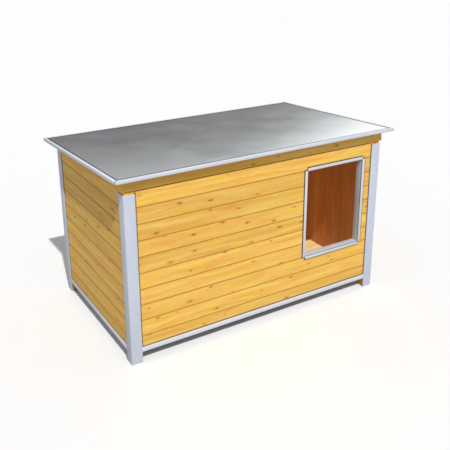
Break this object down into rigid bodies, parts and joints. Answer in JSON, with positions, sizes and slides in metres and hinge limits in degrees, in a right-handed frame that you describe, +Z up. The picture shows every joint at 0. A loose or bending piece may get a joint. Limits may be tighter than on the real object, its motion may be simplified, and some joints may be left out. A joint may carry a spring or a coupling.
{
  "type": "dog house",
  "caption": "Insulated timber dog house with an off-centre doorway, metal-edged corners and a gently sloping metal roof lid that hinges up at the rear.",
  "frame": {"origin": "on the ground, under the middle of the roof's outline", "axes": "+X to the right as seen facing the doorway wall, -Y out of the doorway wall, +Z up"},
  "size_m": [1.282, 0.797, 0.7587],
  "materials": {
    "spruce_boards": "planed, golden clear-glazed softwood",
    "timber": "planed softwood",
    "pine_panel": "sanded pale pine",
    "film_plywood": "smooth brown film-faced plywood",
    "roof_plywood": "plain plywood",
    "fibreboard": "hard fibreboard",
    "aluminium_trim": "satin anodised",
    "roof_metal": "satin sheet",
    "foam": "rigid foam",
    "seal_rubber": "closed-cell foam strip",
    "hinge_steel": "zinc-plated"
  },
  "bodies": {
    "body": {"base_trim_front": "aluminium_trim", "base_trim_left": "aluminium_trim", "base_trim_rear": "aluminium_trim", "base_trim_right": "aluminium_trim", "corner_angle_front_left": "aluminium_trim", "corner_angle_front_right": "aluminium_trim", "corner_angle_rear_left": "aluminium_trim", "corner_angle_rear_right": "aluminium_trim", "corner_post_front_left": "timber", "corner_post_front_right": "timber", "corner_post_rear_left": "timber", "corner_post_rear_right": "timber", "door_head_channel": "aluminium_trim", "door_left_channel": "aluminium_trim", "door_right_channel": "aluminium_trim", "door_sill_channel": "aluminium_trim", "floor_frame": "timber", "floor_insulation": "foam", "floor_panel": "pine_panel", "floor_underlay": "fibreboard", "front_boards": "spruce_boards", "front_lining": "film_plywood", "front_wall_battens": "timber", "front_wall_insulation": "foam", "hinge_left_pin": "hinge_steel", "hinge_left_wall_leaf": "hinge_steel", "hinge_right_pin": "hinge_steel", "hinge_right_wall_leaf": "hinge_steel", "hinge_wall_screws": "hinge_steel", "left_boards": "spruce_boards", "left_lining": "film_plywood", "left_wall_battens": "timber", "left_wall_insulation": "foam", "lid_seal": "seal_rubber", "rear_boards": "spruce_boards", "rear_lining": "film_plywood", "rear_wall_battens": "timber", "rear_wall_insulation": "foam", "right_boards": "spruce_boards", "right_lining": "film_plywood", "right_wall_battens": "timber", "right_wall_insulation": "foam"},
    "lid": {"hinge_left_lid_leaf": "hinge_steel", "hinge_lid_screws": "hinge_steel", "hinge_right_lid_leaf": "hinge_steel", "lid_cross_battens": "timber", "lid_insulation": "foam", "lid_lining": "film_plywood", "lid_rail_front": "timber", "lid_rail_left": "timber", "lid_rail_rear": "timber", "lid_rail_right": "timber", "roof_deck": "roof_plywood", "roof_sheet": "roof_metal", "roof_trim_front": "aluminium_trim", "roof_trim_left": "aluminium_trim", "roof_trim_rear": "aluminium_trim", "roof_trim_right": "aluminium_trim"}
  },
  "joints": [
    {"name": "lid_hinge", "type": "hinge", "parent": "body", "child": "lid", "pos_m": [0, 0.35457, 0.65895], "axis": [-1, 0, 0], "range_deg": [0, 135]}
  ]
}
